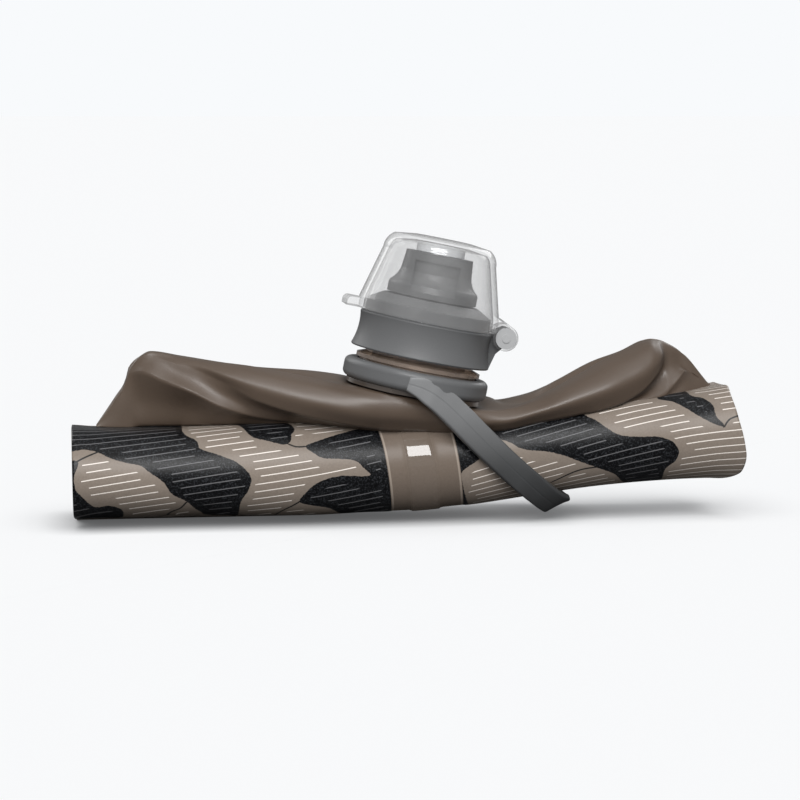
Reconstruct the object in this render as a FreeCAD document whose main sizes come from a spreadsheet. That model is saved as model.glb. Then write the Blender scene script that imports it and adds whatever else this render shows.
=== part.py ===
import FreeCAD, Part
import Sketcher
import math
import os

# Folding water bottle, rolled up from the bottom and held by its own bail strap.
# Row frame: +X along the roll, -Y towards the side the roll was wound to, +Z up,
# origin at the bottom centre. The cap's pieces are drawn upright in a frame of their own,
# whose origin is the middle of the bail ring, and then lean with the neck.

DRIVING_SIZES = {
    # rolled film
    "film_width": 154.8,
    "film_thick": 0.55,
    "film_gap": 0.1,
    "wind_pitch": 1.6,
    "wind_turns": 4,
    "roll_height": 21.3,
    "roll_flat": 6.6,
    "roll_flat_run": 52.0,
    "roll_bend_run": 30.0,
    "roll_slope": 5.6,
    "roll_climb_run": 34.0,
    "core_gap": 0.65,
    "rest_gap": 0.1,
    # neck and cap axis
    "neck_x": 1.5,
    "neck_z": 32.0,
    "neck_lean": 11.5,
    "neck_bore": 10.9,
    "neck_wall": 1.55,
    "neck_lip": 14.0,
    "flange_radius": 15.6,
    "flange_thick": 1.0,
    "flange_flat": 14.0,
    "flange_room": 1.5,
    "room_tall": 20.0,
    "collar_radius": 13.6,
    "bead_radius": 14.4,
    "bead_low": 2.45,
    "bead_high": 3.9,
    # thread
    "thread_pitch": 3.2,
    "thread_turns": 1.25,
    "thread_low": 6.9,
    "thread_reach": 1.15,
    "thread_root": 0.8,
    "thread_crest": 0.45,
    # bail
    "ring_inner": 13.95,
    "ring_outer": 16.8,
    "ring_tall": 4.6,
    "ring_round": 1.4,
    "ring_room": 3.0,
    "strap_thick": 1.7,
    "strap_side": 15.9,
    # cap
    "skirt_low": 5.0,
    "skirt_high": 13.3,
    "skirt_foot": 16.1,
    "skirt_head": 15.4,
    "skirt_scoop": 14.0,
    "skirt_edge": 0.4,
    "skirt_inner": 14.1,
    "deck_low": 15.2,
    "deck_edge": 14.4,
    "deck_edge_high": 16.4,
    "deck_rise": 18.3,
    "deck_core": 11.0,
    "post_radius": 6.5,
    "post_wall": 1.5,
    "post_high": 25.0,
    "post_flange": 8.5,
    "post_flange_thick": 1.2,
    "running_gap": 0.08,
    "gasket_thick": 1.0,
    # spout
    "spout_low": 18.7,
    "spout_high": 28.8,
    "spout_foot": 10.4,
    "spout_foot_high": 21.3,
    "spout_waist": 8.2,
    "spout_waist_high": 24.6,
    "spout_lip": 7.75,
    "mouth_radius": 5.2,
    "grip_top": 26.9,
    "grip_wide": 10.4,
    "grip_turn": 9.0,
    "web_thick": 1.05,
    "seal_thick": 0.7,
    "port_wide": 2.6,
    "clip_low": 19.2,
    "clip_thick": 0.9,
    "clip_reach": 7.7,
    "oring_wire": 0.65,
    "oring_level": 22.4,
    # dust cover
    "cover_low": 13.6,
    "cover_foot": 16.4,
    "cover_foot_high": 16.2,
    "cover_head": 13.2,
    "cover_head_low": 28.4,
    "cover_top": 32.6,
    "cover_wall": 1.35,
    "plug_radius": 5.6,
    "plug_low": 29.0,
    "plug_tip": 27.9,
    "plug_tip_radius": 3.4,
    "tab_reach": 19.6,
    "tab_thick": 2.1,
    "tab_wide": 10.0,
    # hinge
    "hinge_out": 18.1,
    "hinge_level": 13.05,
    "hinge_boss": 2.95,
    "hinge_pin": 1.2,
    "pin_head": 2.45,
    "pin_button": 0.95,
    "lug_wide": 5.0,
    "lug_radius": 2.5,
    "ear_thick": 1.8,
    "ear_gap": 0.2,
}


class Dim:
    """A number together with the spreadsheet expression that gives it."""

    def __init__(self, value, text=None):
        self.value = float(value)
        self.text = text if text is not None else repr(float(value))

    def joined(self, other, sign, value):
        return Dim(value, "({} {} {})".format(self.text, sign, other.text))

    def __add__(self, other):
        other = as_dim(other)
        return self.joined(other, "+", self.value + other.value)

    def __sub__(self, other):
        other = as_dim(other)
        return self.joined(other, "-", self.value - other.value)

    def __mul__(self, other):
        other = as_dim(other)
        return self.joined(other, "*", self.value * other.value)

    def __truediv__(self, other):
        other = as_dim(other)
        return self.joined(other, "/", self.value / other.value)

    def __neg__(self):
        return Dim(-self.value, "(-{})".format(self.text))


def as_dim(number):
    return number if isinstance(number, Dim) else Dim(number)


class Sizes:
    """The driving sizes: each is a cell of the sheet, read as a Dim by its name."""

    def __init__(self, document, values):
        self.sheet = document.addObject("Spreadsheet::Sheet", "Sizes")
        for row, (name, value) in enumerate(values.items(), start=1):
            self.sheet.set("A{}".format(row), name)
            self.sheet.set("B{}".format(row), str(value))
            self.sheet.setAlias("B{}".format(row), name)
        document.recompute()

    def __getattr__(self, name):
        return Dim(self.sheet.get(name), "Sizes." + name)


doc = FreeCAD.newDocument("folding_bottle")
size = Sizes(doc, DRIVING_SIZES)
ORIGIN = -1  # the sketcher's number for a sketch's own origin point


def bind(target, path, dim):
    target.setExpression(path, as_dim(dim).text)


# ---------------------------------------------------------------- drawing helpers


def origin_plane(body, role):
    return next(feature for feature in body.Origin.OriginFeatures if feature.Role == role)


def arc_between(start, end, radius):
    """The short arc from start to end, bulging to the right of its run, or left if radius < 0.

    A sketch keeps its arcs anticlockwise, so a leftward arc is stored from end to start."""
    across = (end - start) * 0.5
    left = FreeCAD.Vector(-across.y, across.x, 0).normalize()
    back = math.copysign(math.sqrt(max(0, radius * radius - across.Length ** 2)), radius)
    centre = start + across + left * back
    first, last = (start, end) if radius > 0 else (end, start)
    angles = [math.atan2(place.y - centre.y, place.x - centre.x) for place in (first, last)]
    circle = Part.Circle(centre, FreeCAD.Vector(0, 0, 1), abs(radius))
    return Part.ArcOfCircle(circle, angles[0], angles[1])


def outline(body, name, plane, points):
    """A closed sketch through points, each (x, y) or (x, y, radius of the arc that leads to it)."""
    sketch = body.newObject("Sketcher::SketchObject", name)
    sketch.AttachmentSupport = [(origin_plane(body, plane), "")]
    sketch.MapMode = "FlatFace"
    corners = [(as_dim(point[0]), as_dim(point[1])) for point in points]
    places = [FreeCAD.Vector(x.value, y.value, 0) for x, y in corners]
    count = len(points)
    heads = []
    for index in range(count):
        start = places[index]
        end = places[(index + 1) % count]
        bend = points[(index + 1) % count][2:]
        radius = as_dim(bend[0]).value if bend else 0
        edge = arc_between(start, end, radius) if bend else Part.LineSegment(start, end)
        sketch.addGeometry(edge, False)
        heads.append((2, 1) if radius < 0 else (1, 2))
    for index in range(count):
        after = (index + 1) % count
        joint = Sketcher.Constraint("Coincident", index, heads[index][1], after, heads[after][0])
        sketch.addConstraint(joint)
    for index, (x, y) in enumerate(corners):
        for kind, dim in (("DistanceX", x), ("DistanceY", y)):
            rule = Sketcher.Constraint(kind, ORIGIN, 1, index, heads[index][0], dim.value)
            number = sketch.addConstraint(rule)
            sketch.setExpression("Constraints[{}]".format(number), dim.text)
    for index in range(count):
        bend = points[(index + 1) % count][2:]
        if bend:
            radius = as_dim(bend[0])
            rule = Sketcher.Constraint("Radius", index, abs(radius.value))
            number = sketch.addConstraint(rule)
            sketch.setExpression("Constraints[{}]".format(number), "abs({})".format(radius.text))
    return sketch


def turned(label, points):
    """A body of revolution about its own Z axis, from a half section of (radius, level) points."""
    body = doc.addObject("PartDesign::Body", label)
    body.Label = label
    section = outline(body, label + "_section", "XZ_Plane", points)
    turn = body.newObject("PartDesign::Revolution", label + "_turn")
    turn.Profile = section
    turn.ReferenceAxis = (section, ["V_Axis"])
    turn.Angle = 360.0
    section.Visibility = False
    body.Tip = turn
    return body


def padded(body, label, points, wide):
    """Adds a pad of the given outline in the XZ plane, half its width to each side."""
    section = outline(body, label + "_section", "XZ_Plane", points)
    doc.recompute()
    pad = body.newObject("PartDesign::Pad", label)
    pad.Profile = section
    pad.Midplane = True
    bind(pad, "Length", wide)
    section.Visibility = False
    body.Tip = pad
    return body


def threaded(body, label, points, low):
    """Adds a right-hand helical ridge of the given section to a turned body."""
    section = outline(body, label + "_ridge", "XZ_Plane", [(x, low + y) for x, y in points])
    doc.recompute()
    helix = body.newObject("PartDesign::AdditiveHelix", label + "_helix")
    helix.Profile = section
    helix.ReferenceAxis = (section, ["V_Axis"])
    helix.Mode = 0
    bind(helix, "Pitch", size.thread_pitch)
    bind(helix, "Height", size.thread_pitch * size.thread_turns)
    section.Visibility = False
    body.Tip = helix
    return body


def cylinder(label, radius, tall, x=0, y=0, z=0, along_y=False):
    made = doc.addObject("Part::Cylinder", label)
    bind(made, "Radius", radius)
    bind(made, "Height", tall)
    if along_y:
        made.Placement.Rotation = FreeCAD.Rotation(FreeCAD.Vector(1, 0, 0), -90)
    for axis, dim in (("x", x), ("y", y), ("z", z)):
        bind(made, "Placement.Base." + axis, dim)
    return made


def box(label, long, wide, tall, x, y, z):
    made = doc.addObject("Part::Box", label)
    for path, dim in (("Length", long), ("Width", wide), ("Height", tall)):
        bind(made, path, dim)
    for axis, dim in (("x", x), ("y", y), ("z", z)):
        bind(made, "Placement.Base." + axis, dim)
    return made


def fused(label, pieces):
    made = doc.addObject("Part::MultiFuse", label)
    made.Shapes = pieces
    made.Refine = True
    return made


def cut(label, base, tool):
    made = doc.addObject("Part::Cut", label)
    made.Base = base
    made.Tool = tool
    return made


def common(label, base, tool):
    made = doc.addObject("Part::Common", label)
    made.Base = base
    made.Tool = tool
    return made


nodes = []


def finished(label, made, on_neck=False):
    """Names a sub-part and, for the pieces drawn upright, leans it with the neck."""
    made.Label = label
    if on_neck:
        lean = FreeCAD.Rotation(FreeCAD.Vector(0, 1, 0), size.neck_lean.value)
        spot = FreeCAD.Vector(size.neck_x.value, 0, size.neck_z.value)
        made.Placement = FreeCAD.Placement(spot, lean)
        bind(made, "Placement.Base.x", size.neck_x)
        bind(made, "Placement.Base.z", size.neck_z)
        bind(made, "Placement.Rotation.Angle", size.neck_lean)
    nodes.append(made)
    return made


# ---------------------------------------------------------------- neck and bail


def build_neck_fitment():
    bore = size.neck_bore
    tube = bore + size.neck_wall
    thick = size.ring_tall / 2
    low = -thick - size.flange_thick - 0.1
    body = turned(
        "neck_tube",
        [
            (bore, low),
            (size.flange_radius, low),
            (size.flange_radius, low + size.flange_thick),
            (size.collar_radius, low + size.flange_thick),
            (size.collar_radius, size.bead_low),
            (size.bead_radius, size.bead_low + 0.3),
            (size.bead_radius, size.bead_high - 0.3),
            (size.collar_radius, size.bead_high),
            (tube, size.bead_high + 0.4),
            (tube, size.neck_lip),
            (bore, size.neck_lip),
        ],
    )
    ridge = [
        (tube - 0.3, -size.thread_root),
        (tube + size.thread_reach, -size.thread_crest),
        (tube + size.thread_reach, size.thread_crest),
        (tube - 0.3, size.thread_root),
    ]
    threaded(body, "neck", ridge, size.thread_low)
    long = size.flange_radius * 2
    flats = []
    for side, start in (("front", -size.flange_flat - 3), ("rear", size.flange_flat)):
        name = "flange_flat_" + side
        flats.append(box(name, long, 3, size.flange_thick + 0.02, -size.flange_radius, start, low - 0.01))
    finished("neck_fitment", cut("neck_flanged", body, fused("flange_flats", flats)), on_neck=True)


def build_bail_ring():
    half = size.ring_tall / 2
    edge = size.ring_outer - size.ring_round
    ring = turned(
        "bail_ring",
        [
            (size.ring_inner, -half),
            (edge, -half),
            (size.ring_outer, -half + size.ring_round, size.ring_round),
            (size.ring_outer, half - size.ring_round),
            (edge, half, size.ring_round),
            (size.ring_inner, half),
        ],
    )
    finished("bail_ring", ring, on_neck=True)


# ---------------------------------------------------------------- cap


def build_cap_shell():
    tube = size.neck_bore + size.neck_wall
    edge = size.skirt_edge
    skirt = turned(
        "cap_skirt",
        [
            (size.skirt_inner, size.skirt_low),
            (size.skirt_foot - edge, size.skirt_low),
            (size.skirt_foot, size.skirt_low + edge, edge),
            (size.skirt_head, size.skirt_high - edge, -size.skirt_scoop),
            (size.skirt_head - edge, size.skirt_high, edge),
            (size.deck_edge + 0.2, size.skirt_high),
            (size.deck_edge, size.deck_edge_high),
            (size.deck_core, size.deck_rise),
            (size.post_radius + size.running_gap, size.deck_rise),
            (size.post_radius + size.running_gap, size.deck_low + size.post_flange_thick + 0.2),
            (size.post_flange + 0.1, size.deck_low + size.post_flange_thick + 0.2),
            (size.post_flange + 0.1, size.deck_low),
            (size.skirt_inner, size.deck_low),
        ],
    )
    wide = size.lug_wide
    out = size.hinge_out
    level = size.hinge_level
    eye = size.lug_radius
    root = size.skirt_head - 0.9
    lug = [
        (root, size.skirt_low + 0.5),
        (size.skirt_foot - 0.2, size.skirt_low + 0.5),
        (size.skirt_foot + 0.7, size.skirt_low + 4),
        (out, level - eye),
        (out + eye, level, eye),
        (out, level + eye, eye),
        (root, size.skirt_high),
    ]
    padded(skirt, "hinge_lug", lug, wide)
    crest = tube + 0.35
    ridge = [
        (size.skirt_inner + 0.3, -size.thread_root + 0.1),
        (size.skirt_inner + 0.3, size.thread_root - 0.1),
        (crest, size.thread_crest - 0.1),
        (crest, -size.thread_crest + 0.1),
    ]
    threaded(skirt, "cap", ridge, size.thread_low + size.thread_pitch / 2)
    pin_way = cylinder("lug_pin_hole", size.hinge_pin, wide * 3, out, -wide * 1.5, level, along_y=True)
    reliefs = [pin_way]
    relief_long = size.ear_thick + size.ear_gap * 2
    for side, start in (("front", -wide / 2 - relief_long), ("rear", wide / 2)):
        name = "ear_relief_" + side
        radius = size.hinge_boss + 0.25
        reliefs.append(cylinder(name, radius, relief_long, out, start, level, along_y=True))
    finished("cap_shell", cut("cap_shell", skirt, fused("cap_reliefs", reliefs)), on_neck=True)


def build_cap_gasket():
    high = size.deck_low - 0.1
    low = high - size.gasket_thick
    gasket = turned(
        "cap_gasket",
        [
            (size.neck_bore - 0.6, low),
            (size.skirt_inner - 0.5, low),
            (size.skirt_inner - 0.5, high),
            (size.neck_bore - 0.6, high),
        ],
    )
    finished("cap_gasket", gasket, on_neck=True)


def ports(label, low, tall):
    """The two openings of the quarter-turn valve, one to each side of the axis."""
    made = []
    for side, centre in (("left", -1), ("right", 1)):
        offset = size.port_wide * centre * 0.95
        made.append(cylinder(label + "_" + side, size.port_wide / 2, tall, offset, 0, low))
    return made


def build_valve_post():
    radius = size.post_radius
    inner = radius - size.post_wall
    low = size.deck_low
    groove = radius - 0.5
    oring_floor = radius - size.oring_wire * 2
    post = turned(
        "post",
        [
            (inner, low),
            (size.post_flange, low),
            (size.post_flange, low + size.post_flange_thick),
            (radius, low + size.post_flange_thick),
            (radius, size.clip_low),
            (groove, size.clip_low),
            (groove, size.clip_low + size.clip_thick),
            (radius, size.clip_low + size.clip_thick),
            (radius, size.oring_level - size.oring_wire),
            (oring_floor, size.oring_level - size.oring_wire),
            (oring_floor, size.oring_level + size.oring_wire),
            (radius, size.oring_level + size.oring_wire),
            (radius, size.post_high),
            (0, size.post_high),
            (0, size.post_high - size.post_wall),
            (inner, size.post_high - size.post_wall),
        ],
    )
    holes = fused("post_ports", ports("post_port", size.post_high - 2, 4))
    finished("valve_post", cut("valve_post", post, holes), on_neck=True)


def build_port_seal():
    disc = cylinder("port_disc", size.post_radius - 0.3, size.seal_thick, z=size.post_high)
    holes = fused("seal_ports", ports("seal_port", size.post_high - 1, 3))
    finished("port_seal", cut("port_seal", disc, holes), on_neck=True)


def build_spout_oring():
    wire = size.oring_wire
    middle = size.post_radius - wire
    level = size.oring_level
    section = [
        (middle - wire, level, wire),
        (middle, level - wire, wire),
        (middle + wire, level, wire),
        (middle, level + wire, wire),
    ]
    finished("spout_oring", turned("spout_oring", section), on_neck=True)


def build_spout_clip():
    inner = size.post_radius - 0.45
    low = size.clip_low + 0.05
    high = size.clip_low + size.clip_thick - 0.05
    reach = size.clip_reach
    clip = turned("clip_ring", [(inner, low), (reach, low), (reach, high), (inner, high)])
    gap = box("clip_gap", reach, 3.0, size.clip_thick, 1.0, -1.5, size.clip_low)
    finished("spout_clip", cut("spout_clip", clip, gap), on_neck=True)


def build_spout():
    bore = size.post_radius + size.running_gap
    room = size.clip_reach + 0.15
    web_low = size.post_high + size.seal_thick + size.running_gap
    body = turned(
        "spout_body",
        [
            (bore, size.spout_low),
            (size.spout_foot, size.spout_low),
            (size.spout_foot, size.spout_foot_high - 0.8),
            (size.spout_foot - 0.7, size.spout_foot_high + 0.5, 1.4),
            (size.spout_waist, size.spout_waist_high, -5.5),
            (size.spout_lip, size.spout_high),
            (size.mouth_radius, size.spout_high),
            (size.mouth_radius, web_low + size.web_thick),
            (0, web_low + size.web_thick),
            (0, web_low),
            (bore, web_low),
            (bore, size.clip_low + size.clip_thick + 0.15),
            (room, size.clip_low + size.clip_thick + 0.15),
            (room, size.clip_low - 0.15),
            (bore, size.clip_low - 0.15),
        ],
    )
    quarter = fused("spout_ports", ports("spout_port", web_low - 1, 3))
    quarter.Placement.Rotation = FreeCAD.Rotation(FreeCAD.Vector(0, 0, 1), 90)
    reach = size.spout_foot + 2
    hollow = turned(
        "grip_hollow",
        [
            (size.spout_waist - 0.75, size.grip_top),
            (reach, size.grip_top),
            (reach, size.spout_foot_high - 1.4),
            (size.spout_foot, size.spout_foot_high - 1.4),
            (size.spout_foot - 0.6, size.spout_foot_high),
            (size.spout_waist - 0.75, size.spout_waist_high - 0.4, -5.0),
        ],
    )
    low = size.spout_foot_high - 2
    tall = size.grip_top - low + 1
    band = box("grip_band", size.grip_wide, reach * 2, tall, -size.grip_wide / 2, -reach, low)
    grips = common("grips", hollow, band)
    grips.Placement.Rotation = FreeCAD.Rotation(FreeCAD.Vector(0, 0, 1), -size.grip_turn.value)
    finished("spout", cut("spout", body, fused("spout_cuts", [quarter, grips])), on_neck=True)


# ---------------------------------------------------------------- dust cover


def build_dust_cover():
    wall = size.cover_wall
    top = size.cover_top
    shell = turned(
        "cover_shell",
        [
            (size.cover_foot - wall, size.cover_low),
            (size.cover_foot - 0.4, size.cover_low),
            (size.cover_foot, size.cover_low + 0.4, 0.4),
            (size.cover_foot, size.cover_foot_high),
            (size.cover_head, size.cover_head_low),
            (size.cover_head - 2.0, top - 0.6, 4.2),
            (size.cover_head / 2, top),
            (0, top),
            (0, top - wall),
            (size.cover_head / 2, top - wall),
            (size.cover_head - 2.6, top - 0.6 - wall),
            (size.cover_head - wall, size.cover_head_low, -3.6),
            (size.cover_foot - wall, size.cover_foot_high),
        ],
    )
    out = size.hinge_out
    level = size.hinge_level
    boss = size.hinge_boss
    inside = size.cover_foot - wall - 0.1
    knuckle = [
        (inside, level + 4.5),
        (inside, level + boss * math.sin(math.radians(152))),
        (out + boss * math.cos(math.radians(152)), level + boss * math.sin(math.radians(152))),
        (out, level - boss, boss),
        (out + boss * math.cos(math.radians(55)), level + boss * math.sin(math.radians(55)), boss),
        (size.cover_foot - 0.4, level + 4.3),
    ]
    knuckle_wide = size.lug_wide + size.ear_gap * 2 + size.ear_thick * 2
    padded(shell, "knuckle", knuckle, knuckle_wide)
    tab_low = size.cover_low + 0.2
    tab_high = tab_low + size.tab_thick
    tab = [
        (-size.tab_reach, tab_low),
        (-size.cover_foot + 1, tab_low),
        (-size.cover_foot + 1, tab_high),
        (-size.tab_reach + 1.1, tab_high),
        (-size.tab_reach, tab_high - 1.1, 1.1),
    ]
    padded(shell, "thumb_tab", tab, size.tab_wide)
    notch_wide = size.lug_wide + size.ear_gap * 2
    notch = cylinder(
        "lug_notch", size.lug_radius + 0.7, notch_wide, out, -notch_wide / 2, level, along_y=True
    )
    pin_way = cylinder("ear_pin_hole", size.hinge_pin + 0.05, 30, out, -15, level, along_y=True)
    finished("dust_cover", cut("dust_cover", shell, fused("cover_cuts", [notch, pin_way])), on_neck=True)


def build_cover_plug():
    ring_in = size.plug_radius - 1.3
    ceiling = size.cover_top - size.cover_wall - 0.25
    plug = turned(
        "cover_plug",
        [
            (0, size.plug_tip),
            (size.plug_tip_radius, size.plug_tip),
            (size.mouth_radius - 0.3, size.plug_low - 0.25),
            (size.mouth_radius - 0.3, size.plug_low),
            (size.plug_radius, size.plug_low),
            (size.plug_radius, ceiling),
            (ring_in, ceiling),
            (ring_in, size.plug_low + 0.6),
            (0, size.plug_low + 0.6),
        ],
    )
    finished("cover_plug", plug, on_neck=True)


def build_hinge_pin():
    reach = size.lug_wide / 2 + size.ear_gap + size.ear_thick
    out = size.hinge_out
    level = size.hinge_level
    shank = cylinder("pin_shank", size.hinge_pin, reach * 2, out, -reach, level, along_y=True)
    head = cylinder("pin_head", size.pin_head, 0.6, out, -reach - 0.65, level, along_y=True)
    button = cylinder("pin_button", size.pin_button, 0.4, out, -reach - 0.85, level, along_y=True)
    neck = cylinder("pin_neck", size.hinge_pin, 0.4, out, -reach - 0.2, level, along_y=True)
    finished("hinge_pin", fused("hinge_pin", [shank, neck, head, button]), on_neck=True)


# ---------------------------------------------------------------- rolled film


def roll_path():
    """The line that the roll's lower edge follows: flat, then a bend up, a climb and a bend back."""
    half = size.film_width.value / 2
    slope = math.radians(size.roll_slope.value)
    bend = size.roll_bend_run.value
    radius = bend / math.sin(slope)
    level_end = size.roll_flat_run.value - half
    climb_start = FreeCAD.Vector(level_end + bend, 0, radius * (1 - math.cos(slope)))
    climb = size.roll_climb_run.value
    climb_end = climb_start + FreeCAD.Vector(climb, 0, climb * math.tan(slope))
    last = half - climb_end.x
    final_slope = slope - math.asin(last / radius)
    finish = climb_end + FreeCAD.Vector(last, 0, radius * (math.cos(final_slope) - math.cos(slope)))
    start = FreeCAD.Vector(-half, 0, 0)
    knee = FreeCAD.Vector(level_end, 0, 0)
    low_mid = FreeCAD.Vector(
        level_end + radius * math.sin(slope / 2), 0, radius * (1 - math.cos(slope / 2))
    )
    mid_slope = (slope + final_slope) / 2
    high_mid = climb_end + FreeCAD.Vector(
        radius * (math.sin(slope) - math.sin(mid_slope)),
        0,
        radius * (math.cos(mid_slope) - math.cos(slope)),
    )
    edges = [
        Part.LineSegment(start, knee).toShape(),
        Part.Arc(knee, low_mid, climb_start).toShape(),
        Part.LineSegment(climb_start, climb_end).toShape(),
        Part.Arc(climb_end, high_mid, finish).toShape(),
    ]
    return Part.Wire(edges)


def swept(profile):
    """The solid that a closed profile at the roll's left end makes along the roll's path."""
    sweep = Part.BRepOffsetAPI.MakePipeShell(roll_path())
    sweep.setBiNormalMode(FreeCAD.Vector(0, 1, 0))
    sweep.add(profile, False, False)
    sweep.build()
    sweep.makeSolid()
    return sweep.shape()


def end_point(across, level):
    return FreeCAD.Vector(-size.film_width.value / 2, across, level)


def spiral_points(depth):
    """The corners of a wound strip's edge, depth inside the roll's outer surface.

    Each entry is (kind, point): flat runs lie above and below, half circles join them."""
    pitch = size.wind_pitch.value
    tall = size.roll_height.value
    flat = size.roll_flat.value / 2
    stations = [("start", end_point(flat, tall - depth))]
    for turn in range(int(size.wind_turns.value)):
        radius = tall / 2 - depth - turn * pitch
        floor = depth + turn * pitch
        stations.append(("rear", end_point(flat + radius, tall / 2)))
        stations.append(("end", end_point(flat, floor)))
        stations.append(("flat", end_point(-flat, floor)))
        radius -= pitch / 2
        stations.append(("front", end_point(-flat - radius, floor + radius)))
        stations.append(("end", end_point(-flat, floor + 2 * radius)))
        stations.append(("flat", end_point(flat, floor + 2 * radius)))
    return stations


def edges_through(stations):
    edges = []
    here = stations[0][1]
    middle = None
    for kind, place in stations[1:]:
        if kind in ("rear", "front"):
            middle = place
            continue
        if middle is not None:
            edges.append(Part.Arc(here, middle, place).toShape())
            middle = None
        else:
            edges.append(Part.LineSegment(here, place).toShape())
        here = place
    return edges


def wound_strip(depth, thick):
    """The profile of one film layer of the roll, whose outer face is depth inside the roll."""
    outer = spiral_points(depth)
    inner = spiral_points(depth + thick)
    edges = edges_through(outer)
    edges.append(Part.LineSegment(outer[-1][1], inner[-1][1]).toShape())
    edges += edges_through(inner)
    edges.append(Part.LineSegment(inner[0][1], outer[0][1]).toShape())
    return Part.Wire(Part.__sortEdges__(edges))


def stadium(depth, drop=0.0):
    """The roll's outer profile, depth inside its surface and lowered by drop, as a closed wire."""
    middle = size.roll_height.value / 2 - drop
    flat = size.roll_flat.value / 2
    radius = size.roll_height.value / 2 - depth
    corners = [
        ("start", end_point(flat, middle + radius)),
        ("rear", end_point(flat + radius, middle)),
        ("end", end_point(flat, middle - radius)),
        ("flat", end_point(-flat, middle - radius)),
        ("front", end_point(-flat - radius, middle)),
        ("end", end_point(-flat, middle + radius)),
        ("flat", end_point(flat, middle + radius)),
    ]
    return Part.Wire(edges_through(corners))


def feature(label, shape):
    made = doc.addObject("Part::Feature", label)
    made.Shape = shape
    return made


def build_film():
    thick = size.film_thick.value
    gap = size.film_gap.value
    finished("front_panel", feature("front_panel", swept(wound_strip(0, thick))))
    finished("back_panel", feature("back_panel", swept(wound_strip(thick + gap, thick))))
    pitch = size.wind_pitch.value
    core = size.wind_turns.value * pitch + size.core_gap.value
    tube = swept(stadium(core, pitch / 2)).cut(swept(stadium(core + thick, pitch / 2)))
    finished("bottom_gusset", feature("bottom_gusset", tube))


SHOULDER_SECTIONS = (
    # place along the roll, middle across, half depth, underside, top
    (-71.5, 2.0, 3.0, 21.8, 23.2),
    (-64.5, 3.0, 4.5, 21.6, 34.5),
    (-59.0, 3.0, 6.0, 21.6, 38.4),
    (-36.0, 1.0, 10.0, 21.6, 34.8),
    (-15.0, -0.5, 13.0, 21.0, 31.8),
    (2.0, -0.5, 13.0, 21.0, 28.4),
    (18.0, -0.5, 12.5, 22.0, 25.6),
    (26.0, 0.0, 11.0, 23.0, 26.6),
    (36.5, 1.0, 9.0, 24.0, 31.0),
    (50.0, 3.0, 8.0, 26.0, 37.0),
    (58.0, 3.0, 6.0, 27.5, 39.6),
    (66.0, 3.0, 4.5, 28.0, 35.0),
    (71.0, 2.0, 3.0, 28.6, 30.2),
)


def neck_room(radius, below):
    """A wide pin along the leaning neck, from the given depth below the bail ring's middle."""
    lean = FreeCAD.Rotation(FreeCAD.Vector(0, 1, 0), size.neck_lean.value)
    up = lean.multVec(FreeCAD.Vector(0, 0, 1))
    centre = FreeCAD.Vector(size.neck_x.value, 0, size.neck_z.value)
    return Part.makeCylinder(radius, size.room_tall.value, centre - up * below, up)


def build_shoulder():
    """The part-filled top of the pouch, a plain closed solid that rests on the roll."""
    rings = []
    for along, across, deep, low, high in SHOULDER_SECTIONS:
        centre = FreeCAD.Vector(along, across, (low + high) / 2)
        to_side = FreeCAD.Vector(0, deep, 0)
        to_top = FreeCAD.Vector(0, 0, (high - low) / 2)
        shorter, longer = sorted((to_side, to_top), key=lambda axis: axis.Length)
        ring = Part.Ellipse(centre + longer, centre + shorter, centre)
        rings.append(Part.Wire([ring.toShape()]))
    pouch = Part.makeLoft(rings, True, True)
    pouch = pouch.cut(swept(stadium(-size.rest_gap.value)))
    below = size.ring_tall.value / 2 + size.flange_thick.value + size.rest_gap.value
    room = neck_room(size.flange_radius.value + size.flange_room.value, below)
    finished("shoulder_pouch", feature("shoulder_pouch", pouch.cut(room)))


STRAP_UPPER = ((-3.0, 36.0), (3.5, 33.0), (7.9, 28.9), (20.7, 16.9), (27.0, 11.8), (39.0, 5.5))
STRAP_LOWER = ((39.0, 0.0), (31.0, 0.0), (23.3, 6.3), (15.9, 12.7), (6.1, 23.1), (-3.0, 30.2))


def strap_loop(depth):
    """The space inside the strap's outer face less depth, a U as seen along the roll."""
    flat = size.roll_flat.value / 2
    radius = size.strap_side.value - flat - depth
    left = STRAP_UPPER[0][0]
    right = STRAP_LOWER[0][0]
    high = STRAP_UPPER[0][1]
    corner_out = flat + radius * math.sin(math.pi / 4)
    corner_up = depth + radius * (1 - math.cos(math.pi / 4))
    corners = [
        ("start", FreeCAD.Vector(left, flat + radius, high)),
        ("flat", FreeCAD.Vector(left, flat + radius, depth + radius)),
        ("rear", FreeCAD.Vector(left, corner_out, corner_up)),
        ("end", FreeCAD.Vector(left, flat, depth)),
        ("flat", FreeCAD.Vector(left, -flat, depth)),
        ("front", FreeCAD.Vector(left, -corner_out, corner_up)),
        ("end", FreeCAD.Vector(left, -flat - radius, depth + radius)),
        ("flat", FreeCAD.Vector(left, -flat - radius, high)),
    ]
    edges = edges_through(corners)
    edges.append(Part.LineSegment(corners[-1][1], corners[0][1]).toShape())
    return Part.Face(Part.Wire(edges)).extrude(FreeCAD.Vector(right - left, 0, 0))


def build_bail_strap():
    """A flat band from the ring's front, down round the roll and up to the ring's rear."""
    wall = strap_loop(0).cut(strap_loop(size.strap_thick.value))
    reach = 2 * size.strap_side.value
    band = [FreeCAD.Vector(x, -reach, z) for x, z in STRAP_UPPER + STRAP_LOWER]
    slab = Part.Face(Part.makePolygon(band + band[:1])).extrude(FreeCAD.Vector(0, 2 * reach, 0))
    strap = wall.common(slab).cut(swept(stadium(-size.rest_gap.value)))
    room = neck_room(size.ring_outer.value + size.ring_room.value, size.ring_tall.value / 2)
    finished("bail_strap", feature("bail_strap", strap.cut(room)))


# ---------------------------------------------------------------- make, check, write


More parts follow.
